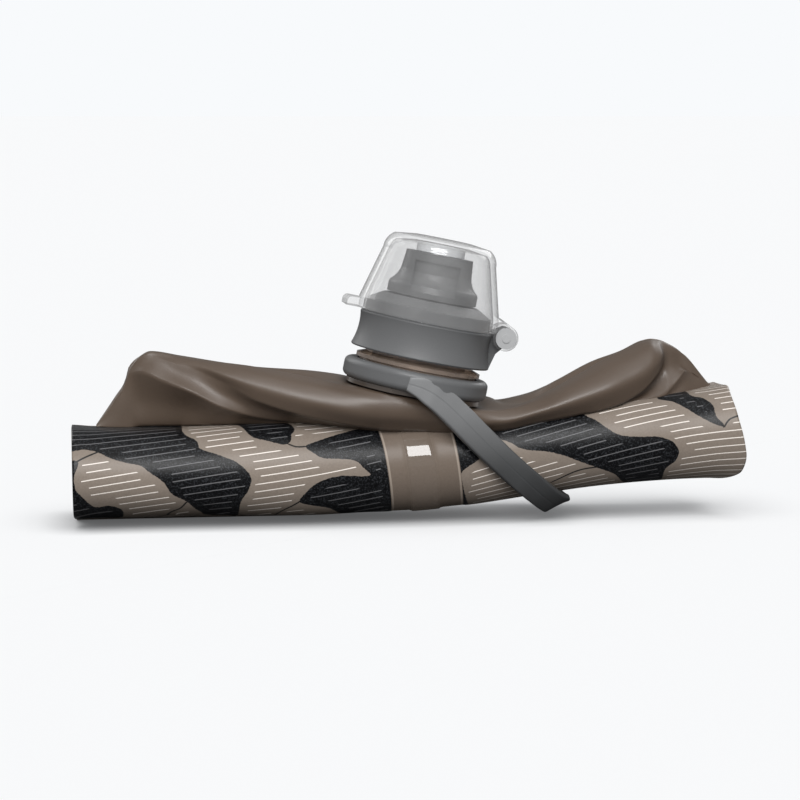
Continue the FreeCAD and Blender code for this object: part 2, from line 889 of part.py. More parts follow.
def settled():
    """Recomputes the document and stops if any object or sub-part has failed."""
    doc.recompute()
    for made in doc.Objects:
        if "Invalid" in made.State or "Error" in made.State:
            raise RuntimeError("{} failed: {}".format(made.Name, made.State))
    for made in nodes:
        if made.Shape.isNull() or not made.Shape.isValid():
            raise RuntimeError("{} has no valid shape".format(made.Label))


def main():
    build_film()
    build_shoulder()
    build_neck_fitment()
    build_bail_ring()
    build_bail_strap()
    build_cap_shell()
    build_cap_gasket()
    build_valve_post()
    build_port_seal()
    build_spout_oring()
    build_spout_clip()
    build_spout()
    build_dust_cover()
    build_cover_plug()
    build_hinge_pin()
    settled()
    os.makedirs("parts", exist_ok=True)
    for made in nodes:
        made.Shape.exportStep("parts/{}.step".format(made.Label))
        box_now = made.Shape.BoundBox
        print(
            "{:16s} {:9.1f} mm3  x {:.1f}..{:.1f}  y {:.1f}..{:.1f}  z {:.1f}..{:.1f} solids {}".format(
                made.Label,
                made.Shape.Volume,
                box_now.XMin,
                box_now.XMax,
                box_now.YMin,
                box_now.YMax,
                box_now.ZMin,
                box_now.ZMax,
                len(made.Shape.Solids),
            )
        )


main()
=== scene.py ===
import math

import bmesh
import bpy
import numpy as np
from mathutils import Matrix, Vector


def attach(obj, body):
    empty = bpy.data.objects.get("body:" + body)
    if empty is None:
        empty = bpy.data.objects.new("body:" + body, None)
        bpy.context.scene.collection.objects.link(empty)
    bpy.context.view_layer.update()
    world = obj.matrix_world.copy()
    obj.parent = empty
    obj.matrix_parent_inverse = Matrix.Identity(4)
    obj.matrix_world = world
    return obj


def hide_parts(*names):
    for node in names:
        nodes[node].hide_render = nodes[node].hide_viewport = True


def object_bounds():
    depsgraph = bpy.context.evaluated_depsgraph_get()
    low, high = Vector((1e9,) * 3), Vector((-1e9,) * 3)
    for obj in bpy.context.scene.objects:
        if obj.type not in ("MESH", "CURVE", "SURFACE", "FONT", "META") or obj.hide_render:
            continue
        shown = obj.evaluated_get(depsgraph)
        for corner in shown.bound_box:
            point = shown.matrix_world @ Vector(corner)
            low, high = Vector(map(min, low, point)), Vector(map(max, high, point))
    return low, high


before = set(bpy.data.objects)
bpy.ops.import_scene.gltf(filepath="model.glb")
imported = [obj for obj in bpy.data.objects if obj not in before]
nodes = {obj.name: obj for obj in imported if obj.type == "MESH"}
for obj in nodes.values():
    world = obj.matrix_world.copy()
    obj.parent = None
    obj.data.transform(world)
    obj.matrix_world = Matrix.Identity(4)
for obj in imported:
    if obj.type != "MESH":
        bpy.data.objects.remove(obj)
cad_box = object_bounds()

MM = 0.001
NECK_LEAN = math.radians(11.5)
NECK_AXIS = (math.sin(NECK_LEAN), 0.0, math.cos(NECK_LEAN))


# ---------------------------------------------------------------- small helpers

def blend(a, b, slope_a, slope_b, t):
    """The cubic from a to b that leaves and arrives at the given slopes, at the share t of the way."""
    return ((1 + 2 * t) * (1 - t) ** 2 * a + t * (1 - t) ** 2 * slope_a
            + t * t * (3 - 2 * t) * b + t * t * (t - 1) * slope_b)


def eased(table, at):
    """Values of a table of (place, value, ...) rows at the places at, on curves that never overshoot."""
    rows = np.array(table, float)
    x, values = rows[:, 0], rows[:, 1:]
    at = np.clip(np.asarray(at, float), x[0], x[-1])
    step = np.diff(x)
    rise = np.diff(values, axis=0) / step[:, None]
    slope = np.zeros_like(values)
    slope[0], slope[-1] = rise[0], rise[-1]
    for i in range(1, len(x) - 1):
        w1 = 2 * step[i] + step[i - 1]
        w2 = step[i] + 2 * step[i - 1]
        same = rise[i - 1] * rise[i] > 0
        safe_a = np.where(same, rise[i - 1], 1.0)
        safe_b = np.where(same, rise[i], 1.0)
        slope[i] = np.where(same, (w1 + w2) / (w1 / safe_a + w2 / safe_b), 0.0)
    k = np.clip(np.searchsorted(x, at, side="right") - 1, 0, len(x) - 2)
    t = ((at - x[k]) / step[k])[:, None]
    h = step[k][:, None]
    return blend(values[k], values[k + 1], h * slope[k], h * slope[k + 1], t)


def smoothstep(low, high, value):
    t = np.clip((value - low) / (high - low), 0, 1)
    return t * t * (3 - 2 * t)


def grid_faces(rows, columns, loop=False):
    """The faces between rows of points, which can close on themselves."""
    faces = []
    last = columns if loop else columns - 1
    for i in range(rows - 1):
        for j in range(last):
            k = (j + 1) % columns
            here, beyond = i * columns, (i + 1) * columns
            faces.append((here + j, beyond + j, beyond + k, here + k))
    return faces


def tube_faces(rows, columns):
    """The faces of a closed tube, its two ends with them."""
    faces = grid_faces(rows, columns, loop=True)
    faces.append(tuple(range(columns)))
    faces.append(tuple((rows - 1) * columns + j for j in reversed(range(columns))))
    return faces


def new_piece(name, points, faces, material, body, replaced):
    """A smooth mesh from points in millimetres, riding on a body in place of the CAD nodes replaced."""
    mesh = bpy.data.meshes.new(name)
    mesh.from_pydata((np.asarray(points, float) * MM).tolist(), [], faces)
    mesh.materials.append(material)
    mesh.shade_smooth()
    made = bpy.data.objects.new(name, mesh)
    bpy.context.scene.collection.objects.link(made)
    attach(made, body)
    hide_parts(*replaced)
    return made


def facing_out(made):
    """Turns the faces of a closed mesh outwards."""
    work = bmesh.new()
    work.from_mesh(made.data)
    bmesh.ops.recalc_face_normals(work, faces=work.faces)
    work.to_mesh(made.data)
    work.free()


def add_values(made, key, values, kind="FLOAT"):
    """Stores one number, or one vector, on each point of a mesh for its material to read."""
    layer = made.data.attributes.new(key, kind, "POINT")
    layer.data.foreach_set("vector" if kind == "FLOAT_VECTOR" else "value", np.ravel(values))


# ---------------------------------------------------------------- sizes that shapes and materials share

# all in millimetres, as the places and lengths of the shapes below are
STRIP_AT, STRIP_HALF = 4.0, 8.1         # the clear strip in the print, across the skewed winding
RAISED_AT = 3.6                         # the middle of the raised band on that strip
HATCH_PITCH = 1.72
FLANGE_X, FLANGE_Z = 0.72, 28.18        # the middle of the neck flange's underside
WELD_HEIGHT = 29.3                      # how far up the neck the flange is painted the film's brown, darkened as painted shade


# ---------------------------------------------------------------- materials

class Shade:
    """A material with one Principled shader and short ways to add nodes to it."""

    def __init__(self, name, **sockets):
        self.material = bpy.data.materials.new(name)
        self.material.use_nodes = True
        self.tree = self.material.node_tree
        self.main = self.tree.nodes["Principled BSDF"]
        self.out = self.tree.nodes["Material Output"]
        for key, value in sockets.items():
            self.main.inputs[key.replace("_", " ")].default_value = value

    def node(self, kind, inputs=(), **settings):
        made = self.tree.nodes.new(kind)
        for key, value in settings.items():
            setattr(made, key, value)
        for key, value in dict(inputs).items():
            if isinstance(value, bpy.types.NodeSocket):
                self.tree.links.new(value, made.inputs[key])
            else:
                made.inputs[key].default_value = value
        return made

    def attribute(self, name, output="Fac"):
        return self.node("ShaderNodeAttribute", attribute_name=name).outputs[output]

    def math(self, operation, *values):
        made = self.node("ShaderNodeMath", operation=operation)
        for i, value in enumerate(values):
            if isinstance(value, bpy.types.NodeSocket):
                self.tree.links.new(value, made.inputs[i])
            else:
                made.inputs[i].default_value = value
        return made.outputs[0]

    def step(self, value, low, high):
        made = self.node("ShaderNodeMapRange", {"Value": value, "From Min": low, "From Max": high},
                         interpolation_type="SMOOTHSTEP")
        return made.outputs["Result"]

    def mix(self, factor, a, b):
        made = self.node("ShaderNodeMix", data_type="RGBA")
        for socket, value in ((made.inputs[0], factor), (made.inputs[6], a), (made.inputs[7], b)):
            if isinstance(value, bpy.types.NodeSocket):
                self.tree.links.new(value, socket)
            else:
                socket.default_value = value
        return made.outputs[2]

    def place(self):
        return self.node("ShaderNodeTexCoord").outputs["Object"]

    def noise(self, scale, detail=2.0, vector=None):
        made = self.node("ShaderNodeTexNoise", {"Scale": scale, "Detail": detail, "Roughness": 0.5})
        self.tree.links.new(vector or self.place(), made.inputs["Vector"])
        return made.outputs["Fac"]

    def set(self, key, value):
        self.tree.links.new(value, self.main.inputs[key])

    def bump(self, height, strength, distance):
        made = self.node("ShaderNodeBump", {"Height": height, "Strength": strength, "Distance": distance})
        self.set("Normal", made.outputs["Normal"])


def colour(red, green, blue):
    """A display colour, from 0 to 255, as a shader colour."""
    def linear(c):
        c /= 255
        return c / 12.92 if c <= 0.04045 else ((c + 0.055) / 1.055) ** 2.4
    return (linear(red), linear(green), linear(blue), 1.0)


def moulded(name, tone, roughness, grain=0.35, coat=0.0):
    """Moulded plastic: an even colour with a faint mottle, spark-eroded grain and uneven gloss."""
    shade = Shade(name, Roughness=roughness, Coat_Weight=coat, Coat_Roughness=0.2)
    fine = shade.noise(2600, 3.0)
    broad = shade.noise(90, 2.0)
    fleck = 0.08
    dark = tuple(c * (1 - fleck) for c in tone[:3]) + (1.0,)
    light = tuple(min(1.0, c * (1 + fleck)) for c in tone[:3]) + (1.0,)
    mottle = shade.math("ADD", shade.math("MULTIPLY", fine, 0.5), shade.math("MULTIPLY", broad, 0.5))
    shade.set("Base Color", shade.mix(mottle, dark, light))
    shade.set("Roughness", shade.math("ADD", shade.math("MULTIPLY", broad, 0.12), roughness - 0.06))
    shade.bump(fine, grain, 0.00005)
    return shade.material


def clear(name, tint, body, haze, gloss_roughness, edge, face_on, welded_below=None):
    """Clear moulded plastic: see-through with a sharp gloss, and a haze that gathers at grazing edges.

    Below the height welded_below, measured along the neck, it is painted the film's brown, darkened further as
    painted shade under the ring."""
    shade = Shade(name, Base_Color=body, Roughness=0.35)
    fine = shade.noise(700, 2.0)
    through = shade.node("ShaderNodeBsdfTransparent", {"Color": tint})
    gloss = shade.node("ShaderNodeBsdfGlossy", {
        "Color": (1, 1, 1, 1),
        "Roughness": shade.math("ADD", shade.math("MULTIPLY", fine, 0.05), gloss_roughness),
    })
    facing = shade.node("ShaderNodeLayerWeight", {"Blend": 0.5}).outputs["Facing"]
    milk_at_edge = shade.math("MULTIPLY", shade.math("POWER", facing, 2.8), edge)
    milk = shade.math("ADD", milk_at_edge, shade.math("MULTIPLY", shade.noise(120, 2.0), haze))
    if welded_below is not None:
        up_neck = shade.node("ShaderNodeVectorMath", {0: shade.place(), 1: NECK_AXIS},
                             operation="DOT_PRODUCT").outputs["Value"]
        # painted: the film's colour, darker than the film itself as painted shade under the ring, and opaque
        film_and_shade_painted = shade.step(up_neck, welded_below, welded_below - 0.1 * MM)
        milk = shade.math("MAXIMUM", milk, film_and_shade_painted)
        shade.set("Base Color", shade.mix(film_and_shade_painted, body, colour(66, 57, 50)))
    hazed = shade.node("ShaderNodeMixShader", {0: milk})
    shade.tree.links.new(through.outputs[0], hazed.inputs[1])
    shade.tree.links.new(shade.main.outputs[0], hazed.inputs[2])
    shine = shade.math("ADD", shade.math("MULTIPLY", shade.math("POWER", facing, 5.0), 0.6), face_on)
    mirror = shade.node("ShaderNodeMixShader", {0: shine})
    shade.tree.links.new(hazed.outputs[0], mirror.inputs[1])
    shade.tree.links.new(gloss.outputs[0], mirror.inputs[2])
    shade.tree.links.new(mirror.outputs[0], shade.out.inputs["Surface"])
    return shade.material


def plain_film():
    """Smoky brown film with a satin face, slow colour drift and fine calender grain."""
    shade = Shade("film_brown", IOR=1.5, Specular_IOR_Level=0.8)
    broad = shade.noise(38, 3.0)
    fine = shade.noise(1500, 3.0)
    tone = shade.mix(broad, colour(82, 69, 58), colour(94, 80, 68))
    tone = shade.mix(shade.math("MULTIPLY", fine, 0.35), tone, colour(74, 62, 53))
    shade.set("Base Color", tone)
    shade.set("Roughness", shade.math("ADD", shade.math("MULTIPLY", broad, 0.14), 0.38))
    shade.bump(shade.math("ADD", fine, shade.math("MULTIPLY", broad, 2.0)), 0.22, 0.00006)
    return shade.material


def printed_film():
    """The rolled film: a wavy two-tone print with fine hatching, and a clear unprinted strip."""
    shade = Shade("film_print", IOR=1.5)
    ink, line, beside = (shade.attribute(name) for name in ("ink", "line", "beside"))
    parts = shade.node("ShaderNodeSeparateXYZ", {0: shade.attribute("skewed", "Vector")})
    across, up = parts.outputs["X"], parts.outputs["Y"]

    # the two prints and the strip between them
    fine = shade.noise(2300, 3.0)
    grain = shade.noise(3000, 2.0)
    ragged = shade.math("MULTIPLY", shade.math("SUBTRACT", shade.noise(1900, 2.0), 0.5), 0.35)
    black = shade.step(shade.math("ADD", ink, ragged), 0.05, -0.05)
    thin = shade.math("MULTIPLY", shade.step(shade.math("ABSOLUTE", beside), 0.26, 0.12),
                      shade.step(line, 0.75, 0.6))
    off_centre = shade.math("ABSOLUTE", shade.math("SUBTRACT", across, STRIP_AT))
    off_strip = shade.math("SUBTRACT", off_centre, STRIP_HALF)
    strip = shade.step(off_strip, 0.05, -0.05)

    # hatching: one short run per line, held back from every edge by its own amount
    count = shade.math("DIVIDE", up, HATCH_PITCH)
    number = shade.math("FLOOR", count)
    within = shade.math("ABSOLUTE", shade.math("SUBTRACT", shade.math("FRACT", count), 0.5))
    stroke = shade.step(within, 0.085, 0.047)
    random = shade.node("ShaderNodeTexWhiteNoise", {"W": number}, noise_dimensions="1D").outputs["Value"]
    held = shade.math("ADD", shade.math("MULTIPLY", random, 1.7), 0.8)
    clear_of_ink = shade.step(shade.math("SUBTRACT", shade.math("ABSOLUTE", ink), held), 0.0, 0.12)
    clear_of_line = shade.step(shade.math("SUBTRACT", line, 1.0), 0.0, 0.12)
    clear_of_strip = shade.step(shade.math("SUBTRACT", off_strip, held), 0.0, 0.12)
    along = shade.node("ShaderNodeCombineXYZ", {0: shade.math("MULTIPLY", across, 0.055),
                                                1: shade.math("MULTIPLY", number, 7.31)}).outputs[0]
    broken = shade.step(shade.noise(1.0, 1.0, along), 0.30, 0.32)
    hatch = shade.math("MULTIPLY", stroke, clear_of_ink)
    for gate in (clear_of_line, clear_of_strip, broken):
        hatch = shade.math("MULTIPLY", hatch, gate)

    # colours
    tan = shade.mix(fine, colour(121, 111, 101), colour(142, 131, 121))
    coal = shade.mix(shade.step(grain, 0.48, 0.68), colour(5, 5, 7), colour(50, 52, 55))
    tan = shade.mix(hatch, tan, colour(236, 228, 220))
    coal = shade.mix(shade.math("MULTIPLY", hatch, 0.85), coal, colour(112, 112, 114))
    printed = shade.mix(thin, tan, colour(30, 29, 29))
    printed = shade.mix(black, printed, coal)
    bare = shade.mix(fine, colour(107, 96, 86), colour(120, 108, 98))
    rim = shade.step(shade.math("ABSOLUTE", shade.math("ADD", off_strip, 0.35)), 0.30, 0.10)
    bare = shade.mix(shade.math("MULTIPLY", rim, 0.6), bare, colour(176, 164, 152))
    shade.set("Base Color", shade.mix(strip, printed, bare))

    # gloss: satin print, and a band of polished film along the strip's middle
    matt = shade.math("ADD", shade.math("MULTIPLY", fine, 0.14), 0.29)
    raised = shade.step(shade.math("ABSOLUTE", shade.math("SUBTRACT", across, RAISED_AT)), 3.3, 2.9)
    matt_share = shade.math("MULTIPLY", matt, shade.math("SUBTRACT", 1.0, raised))
    shade.set("Roughness", shade.math("ADD", matt_share, shade.math("MULTIPLY", raised, 0.05)))
    shade.set("Specular IOR Level", shade.math("ADD", shade.math("MULTIPLY", raised, 0.72), 0.28))
    relief = shade.math("ADD", shade.math("MULTIPLY", hatch, 0.6), shade.math("MULTIPLY", grain, 0.5))
    relief = shade.math("MULTIPLY", relief, shade.math("SUBTRACT", 1.0, strip))
    shade.bump(relief, 0.5, 0.00005)
    return shade.material


def strap_rubber():
    """Soft grey band with painted light and shade: its colour is lighter towards its top and darker towards its
    bottom, with fine grain and a faint line along its middle.
    """
    shade = Shade("strap_rubber", IOR=1.5)
    fine = shade.noise(3000, 3.0)
    broad = shade.noise(120, 2.0)
    groove = shade.step(shade.math("ABSOLUTE", shade.attribute("across")), 0.30, 0.08)
    painted_light_by_height = shade.attribute("painted_light_by_height")
    # painted light and shade: the dark tone is the painted shade of the band's low part, the pale tone the painted
    # light of its top
    slack = shade.mix(broad, colour(57, 58, 59), colour(65, 66, 67))
    painted_lit_tone = shade.mix(broad, colour(126, 127, 128), colour(136, 137, 138))
    tone = shade.mix(painted_light_by_height, slack, painted_lit_tone)
    # painted shade: the groove along the middle is pulled towards a dark grey in colour, as well as dented by the
    # bump
    tone = shade.mix(shade.math("MULTIPLY", groove, 0.15), tone, colour(66, 69, 72))
    shade.set("Base Color", tone)
    shade.set("Roughness", shade.math("ADD", shade.math("MULTIPLY", fine, 0.12), 0.42))
    shade.bump(shade.math("SUBTRACT", shade.math("MULTIPLY", fine, 0.5), groove), 0.45, 0.00008)
    return shade.material


FILM = plain_film()
PRINT = printed_film()
STRAP = strap_rubber()
CAP = moulded("cap_grey", colour(102, 103, 104), 0.44)
SPOUT = moulded("spout_grey", colour(92, 93, 94), 0.36, grain=0.2)
BAIL = moulded("bail_grey", colour(101, 102, 103), 0.40)
SEAL = moulded("seal_grey", colour(196, 198, 200), 0.5)
PLUG = moulded("plug_white", colour(232, 234, 236), 0.4)
NYLON = moulded("pin_nylon", colour(180, 181, 182), 0.26, coat=0.6)
COVER = clear("clear_cover", colour(251, 251, 251), colour(228, 228, 228), 0.13, 0.04, 0.5, 0.04)
SMOKED = clear("clear_brown", colour(212, 196, 182), colour(184, 165, 150), 0.85, 0.09, 0.5, 0.13,
               welded_below=WELD_HEIGHT * MM)

for name, material in {
    "neck_fitment": SMOKED, "bail_ring": BAIL, "cap_shell": CAP, "cap_gasket": SEAL, "valve_post": CAP,
    "port_seal": SEAL, "spout_oring": SEAL, "spout_clip": NYLON, "spout": SPOUT, "dust_cover": COVER,
    "cover_plug": PLUG, "hinge_pin": NYLON,
}.items():
    mesh = nodes[name].data
    mesh.materials.clear()
    mesh.materials.append(material)


# ---------------------------------------------------------------- the line that the roll follows

SLOPE = math.radians(7.0)
BEND_FROM, BEND_LONG = -25.4, 30.0
CLIMB_FROM, CLIMB_LONG = BEND_FROM + BEND_LONG, 34.0
BEND = BEND_LONG / math.sin(SLOPE)
FLAT = 3.3                      # half of the flat part between the roll's two round sides
STEP = 0.8                      # how much smaller each half turn is than the one outside it
HALF_TURNS = 9
REAR_FROM = -2 * FLAT           # where the rear's round begins, going back under the roll


def lift(x):
    """Height of the roll's lower edge: flat on the floor at the left, rising towards the right."""
    x = np.asarray(x, float)
    low = BEND - np.sqrt(BEND**2 - np.clip(x - BEND_FROM, 0, BEND_LONG) ** 2)
    climb = np.clip(x - CLIMB_FROM, 0, CLIMB_LONG) * math.tan(SLOPE)
    past = np.clip(x - CLIMB_FROM - CLIMB_LONG, 0, None)
    level = SLOPE - np.arcsin(past / BEND)
    return low + climb + BEND * (np.cos(level) - math.cos(SLOPE)) * (past > 0)


def along_roll(table, x):
    """The one value of a table at every place of a grid along the roll."""
    return eased(table, np.ravel(x))[:, 0].reshape(np.shape(x))


def front_radius(x):
    """Radius of the roll's round front."""
    return along_roll([(-80, 10.8), (-50, 10.85), (-25, 11.35), (0, 10.95), (20, 10.45), (45, 10.25),
                       (60, 10.15), (76, 10.95)], x)


def roll_point(x, s):
    """Where the wound film's outer face is, s millimetres round from the bottom of the front, and its normal.

    Negative s goes back under the roll and up its rear; past the top it winds inwards."""
    x, s = np.broadcast_arrays(np.asarray(x, float), np.asarray(s, float))
    radius = front_radius(x)
    y, z = np.zeros(x.shape), np.zeros(x.shape)
    ny, nz = np.zeros(x.shape), np.zeros(x.shape)

    def fill(where, *values):
        for target, value in zip((y, z, ny, nz), values):
            target[where] = np.broadcast_to(value, x.shape)[where]

    rear = radius + STEP
    angle = (REAR_FROM - s) / rear
    fill(s < REAR_FROM, FLAT + rear * np.sin(angle), rear * (1 - np.cos(angle)), np.sin(angle), -np.cos(angle))
    fill((s >= REAR_FROM) & (s < 0), -FLAT - s, 0.0, 0.0, -1.0)
    start = np.zeros(x.shape)
    floor = np.zeros(x.shape)
    front = True
    r = radius.copy()
    for _ in range(HALF_TURNS):
        angle = (s - start) / r
        bend = (angle >= 0) & (angle <= math.pi)
        side = -1.0 if front else 1.0
        turn = angle if front else math.pi - angle
        fill(bend, side * (FLAT + r * np.sin(angle)), floor + r * (1 - np.cos(turn)),
             side * np.sin(angle), -np.cos(turn))
        start = start + r * math.pi
        run = s - start
        flat = (run > 0) & (run < 2 * FLAT)
        level = floor + 2 * r if front else floor
        fill(flat, side * (FLAT - run), level, 0.0, 1.0 if front else -1.0)
        start = start + 2 * FLAT
        r = r - STEP
        if front:
            floor = level - 2 * r
        front = not front
    return y, z + lift(x), ny, nz


def front_raise(x, y, z):
    """How far the roll's lower front corner is off the floor, where the roll rests on its rear."""
    height = along_roll([(-80, 1.7), (-50, 1.6), (-30, 1.3), (-13, 1.2), (-5, 0.8), (2, 0.45), (10, 0.2),
                         (16, 0.0), (80, 0.0)], x)
    return height * smoothstep(4.5, -4.5, y) * (1 - smoothstep(0.0, 14.0, z - lift(x)))


def right_end(s):
    """The roll's right end, which leans with the skewed winding and has soft corners."""
    return eased([(-40, 73.2), (-16, 74.6), (-6, 73.0), (0, 70.8), (2.5, 72.4), (5, 74.4), (8, 76.2), (12, 76.6),
                  (16, 75.9), (22, 74.5), (28, 73.8), (33, 74.2), (36, 73.6), (60, 72.6), (110, 72.4), (200, 72.2)],
                 s)[:, 0]


def left_end(s):
    """The roll's left end, nearly square."""
    return eased([(-40, -76.2), (-10, -76.4), (0, -75.7), (3, -76.7), (7, -77.2), (20, -77.4), (34, -77.3),
                  (45, -76.9), (110, -76.6), (200, -76.4)], s)[:, 0]


# ---------------------------------------------------------------- the printed pattern

# places as (along the roll, round it from the bottom of the front): closed wavy shapes, then thin open lines
BLOTS = (
    ((-80, 40), (-71, 40), (-61, 40), (-53, 39.5), (-52.4, 30.3), (-49.6, 27.2), (-48.8, 24.8), (-44.9, 23.2),
     (-40.6, 21.2), (-37.8, 18.2), (-38.2, 15.2), (-39.9, 12.0), (-40.1, 7.2), (-40.2, 0.5), (-43.5, 4.8),
     (-46.6, 7.2), (-49.8, 9.8), (-52.1, 12.3), (-55.3, 14.2), (-57.3, 17.1), (-60.3, 19.3), (-62.4, 20.9),
     (-65.6, 21.6), (-68.9, 22.7), (-71.7, 24.3), (-74.3, 24.9), (-80, 25.4)),
    ((-80, 20.2), (-76.0, 22.0), (-77.0, 18.6), (-76.7, 15.8), (-75.1, 13.9), (-72.4, 11.2), (-69.0, 11.5),
     (-66.2, 9.9), (-66.8, 6.9), (-72.8, 5.2), (-80, 4.6)),
    ((-43.2, 40), (-39.9, 34), (-37.4, 28.3), (-33.9, 26.7), (-30.0, 25.6), (-28.4, 26.6), (-28.2, 28.4),
     (-27.3, 30.6), (-29.1, 35.3), (-32.2, 37.3), (-34.1, 40)),
    ((-25.3, 25.1), (-23.6, 23.5), (-21.6, 22.2), (-17.9, 21.8), (-14.3, 21.2), (-12.4, 19.4), (-10.9, 17.4),
     (-17.6, 17.9), (-22.2, 16.8), (-24.9, 14.8), (-26.7, 11.9), (-23.3, 10.6), (-19.8, 9.6), (-16.6, 7.1),
     (-12, 5.0), (-2.6, 2.0), (-4.3, 13.6), (-5.0, 21.0), (-5.4, 31.0), (-11.8, 30.0), (-17.4, 28.3),
     (-22.5, 26.4)),
    ((6.6, 30.5), (12, 30), (18.2, 26), (17.4, 20.6), (14.1, 17.7), (10.2, 15.4), (10.7, 11.5), (13.5, 0),
     (10.0, -1), (8.0, 14.9), (6.8, 21.8)),
    ((15.0, 26.0), (22.4, 25.6), (30, 27.0), (37.2, 25.8), (39.9, 24.1), (42.0, 22.4), (44.2, 20.3),
     (46.9, 18.5), (51.4, 17.7), (55.9, 17.3), (59.1, 16.0), (60.7, 13.6), (60.0, 11.2), (57.9, 8.6), (57.7, 1),
     (50.4, 2.5), (46.4, 8.5), (41.5, 11.5), (38.0, 13.4), (33.3, 15.8), (29.4, 17.2), (24.4, 18.4),
     (21.1, 20.6), (17.9, 22.4)),
    ((56.9, 28.0), (59.3, 32.5), (63.9, 32.8), (64.9, 28.5), (67.3, 27.2), (69.1, 24.9), (69.6, 21.8),
     (71.5, 19.5), (69.4, 19.8), (66.3, 21.4), (63.2, 23.8), (60.1, 26.4)),
)
BRANCHES = (
    ((-80, 19.6), (-75.3, 22.5), (-71.7, 24.3)),
    ((-52.1, 12.0), (-53.4, 10.2), (-55.4, 9.0), (-58.6, 6.2)),
    ((-26.7, 11.9), (-28.2, 10.8), (-30.3, 9.2), (-33.2, 6.0)),
    ((-29.2, 25.8), (-27.3, 25.0), (-25.0, 25.1)),
    ((41.7, 11.6), (38.3, 11.5), (35.4, 10.7), (31.6, 8.8)),
    ((71.3, 19.6), (72.7, 21.3), (76.2, 22.6)),
)


def rounded(points, closed):
    """A curve through the points, eight steps to each run."""
    p = np.array(points, float)
    n = len(p)
    out = []
    for i in range(n if closed else n - 1):
        a, b = p[i], p[(i + 1) % n]
        before = p[i - 1] if closed or i else a
        after = p[(i + 2) % n] if closed or i + 2 < n else b
        for t in np.arange(8) / 8:
            out.append(blend(a, b, (b - before) * 0.45, (after - a) * 0.45, t))
    if not closed:
        out.append(p[-1])
    return np.array(out)


def away(px, py, curve, closed):
    """Distance of each point from a curve, and whether it is inside a closed one."""
    best = np.full(px.shape, 1e9)
    inside = np.zeros(px.shape, bool)
    ends = np.roll(curve, -1, axis=0) if closed else curve[1:]
    for (ax, ay), (bx, by) in zip(curve, ends):
        dx, dy = bx - ax, by - ay
        t = np.clip(((px - ax) * dx + (py - ay) * dy) / max(dx * dx + dy * dy, 1e-9), 0, 1)
        best = np.minimum(best, (px - ax - t * dx) ** 2 + (py - ay - t * dy) ** 2)
        if closed and ay != by:
            crosses = ((ay > py) != (by > py)) & (px < dx * (py - ay) / dy + ax)
            inside ^= crosses
    return np.sqrt(best), inside


def pattern(x, s):
    """For each point: how far it is from the dark print, negative inside, and from the nearest thin branch.

    The last of the three values is the same distance with a sign for the branch's two sides."""
    x, s = x.ravel(), np.abs(s.ravel())
    ink = np.full(x.shape, 1e9)
    for blot in BLOTS:
        far, inside = away(x, s, rounded(blot, True), True)
        ink = np.minimum(ink, np.where(inside, -far, far))
    line = np.full(x.shape, 1e9)
    beside = line.copy()
    for branch in BRANCHES:
        curve = rounded(branch, False)
        far = away(x, s, curve, False)[0]
        nearest = np.argmin((x[:, None] - curve[:-1, 0]) ** 2 + (s[:, None] - curve[:-1, 1]) ** 2, axis=1)
        run = np.diff(curve, axis=0)[nearest]
        side = np.sign(run[:, 0] * (s - curve[nearest, 1]) - run[:, 1] * (x - curve[nearest, 0]))
        beside = np.where(far < line, far * side, beside)
        line = np.minimum(line, far)
    return ink, line, beside


SKEW = math.radians(8.4)


def skewed(x, s):
    """Places on the film turned by the angle at which it was wound."""
    return x * math.cos(SKEW) + s * math.sin(SKEW), s * math.cos(SKEW) - x * math.sin(SKEW)


# ---------------------------------------------------------------- rolled film

FILM_THICK = 1.05
OFF_FLOOR = 0.02


def film_sheet(name, s_from, s_to, s_step, x_steps, replaced):
    """A length of the wound film, with its raised strip, its slack waves and its flared ends."""
    s = np.linspace(s_from, s_to, int((s_to - s_from) / s_step) + 1)
    u = np.linspace(0, 1, x_steps)
    u = u * 0.8 + (1 - np.cos(u * math.pi)) / 2 * 0.2       # columns closer together at the ends
    left, right = left_end(s), right_end(s)
    x = left[:, None] + (right - left)[:, None] * u[None, :]
    sg = np.broadcast_to(s[:, None], x.shape)
    y, z, ny, nz = roll_point(x, sg)
    settled = front_raise(x, y, z)
    printed_at = sg + settled / np.maximum(np.abs(ny), 0.35)        # the print keeps its height as the film rises
    across, up = skewed(x, printed_at)
    band = smoothstep(3.5, 2.9, np.abs(across - RAISED_AT)) * 0.32
    band = band - smoothstep(STRIP_HALF + 0.7, STRIP_HALF - 0.3, np.abs(across - STRIP_AT)) * 0.12
    slack = 0.16 * np.sin(x * 0.11 + sg * 0.19) * np.sin(x * 0.043 - sg * 0.13 + 1.0)
    flare = 0.30 * (smoothstep(-72.0, -77.4, x) + smoothstep(69.0, 76.5, x))
    out = (band + slack + flare) * smoothstep(-33, -24, sg)
    out = np.where(z + nz * out < OFF_FLOOR, 0.0, out)
    points = np.stack([x, y + ny * out, z + nz * out + settled], -1).reshape(-1, 3)
    faces = [face[::-1] for face in grid_faces(len(s), x_steps)]
    made = new_piece(name, points, faces, PRINT, "bottle", replaced)
    ink, line, beside = pattern(x, printed_at)
    for key, values in (("ink", ink), ("line", line), ("beside", beside)):
        add_values(made, key, values)
    add_values(made, "skewed", np.stack([across, up, np.zeros(x.shape)], -1), "FLOAT_VECTOR")
    shell = made.modifiers.new("thickness", "SOLIDIFY")
    shell.thickness = FILM_THICK * MM
    shell.offset = -1
    shell.use_rim = True
    made.data.materials.append(FILM)
    shell.material_offset = 1
    shell.material_offset_rim = 1
    return made


outer_film = film_sheet("rolled_film_outer", -31.5, 78.0, 0.62, 250, ("front_panel", "back_panel"))
inner_film = film_sheet("rolled_film_inner", 77.0, 246.0, 1.2, 40, ("bottom_gusset",))


# ---------------------------------------------------------------- shoulder of the pouch

def flange_level(x):
    """The plane under the neck's flange."""
    return FLANGE_Z - (x - FLANGE_X) * math.tan(NECK_LEAN)


